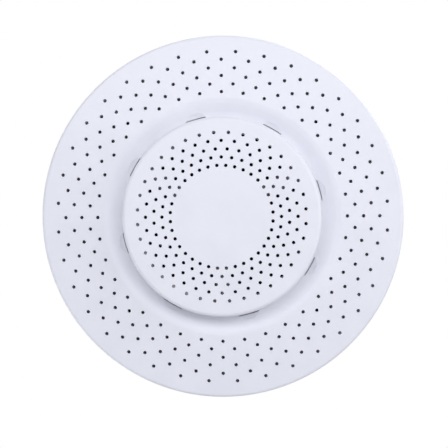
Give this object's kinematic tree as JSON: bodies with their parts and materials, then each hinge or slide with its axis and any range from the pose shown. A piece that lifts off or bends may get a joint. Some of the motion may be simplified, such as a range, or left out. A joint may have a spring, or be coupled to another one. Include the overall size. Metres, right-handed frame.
{
  "type": "ceiling air diffuser",
  "caption": "Round ceiling air diffuser: perforated face ring, grooved centre disc that screws down to open, pull-off face and a steel duct spigot frame.",
  "frame": {"origin": "on the diffuser's axis, in the plane of the ceiling, inside the duct spigot", "axes": "+Z along the axis, up into the duct; the perforated face looks down, along -Z, into the room"},
  "size_m": [0.225, 0.225, 0.083],
  "materials": {
    "white_plastic": "satin",
    "galvanised_steel": "satin",
    "zinc_plate": "satin",
    "spring_steel": "satin",
    "brass": "satin",
    "seal_rubber": "matte",
    "gasket_rubber": "matte",
    "grey_nylon": "matte",
    "white_nylon": "matte"
  },
  "bodies": {
    "fixed_frame": {"mounting_frame": "galvanised_steel", "spigot_seal": "seal_rubber", "ceiling_gasket": "gasket_rubber"},
    "pull_off_face": {"front_cover": "white_plastic", "bridge": "zinc_plate", "bridge_screws": "zinc_plate", "guide_cage": "grey_nylon", "threaded_stud": "zinc_plate", "stud_washer": "zinc_plate", "stud_nut": "zinc_plate", "jam_nut": "zinc_plate", "retaining_spring_1": "spring_steel", "retaining_spring_2": "spring_steel", "retaining_spring_3": "spring_steel", "compression_spring": "spring_steel"},
    "spring_carrier": {"spring_seat": "grey_nylon", "thrust_washer": "white_nylon"},
    "centre_disc": {"valve_disc": "white_plastic", "thread_insert": "brass", "disc_seal": "gasket_rubber"}
  },
  "joints": [
    {"name": "face_pull", "type": "slide", "parent": "fixed_frame", "child": "pull_off_face", "axis": [0, 0, -1], "range_m": [0, 0.06]},
    {"name": "disc_travel", "type": "slide", "parent": "pull_off_face", "child": "spring_carrier", "axis": [0, 0, -1], "range_m": [0, 0.012], "deforming": ["compression_spring"]},
    {"name": "disc_turn", "type": "hinge", "parent": "spring_carrier", "child": "centre_disc", "pos_m": [0, 0, -0.012], "axis": [0, 0, -1], "range_deg": [0, 1440]}
  ],
  "couplings": [
    {"joint": "disc_travel", "follows": "disc_turn", "m_per_rad": 0.00047746}
  ]
}
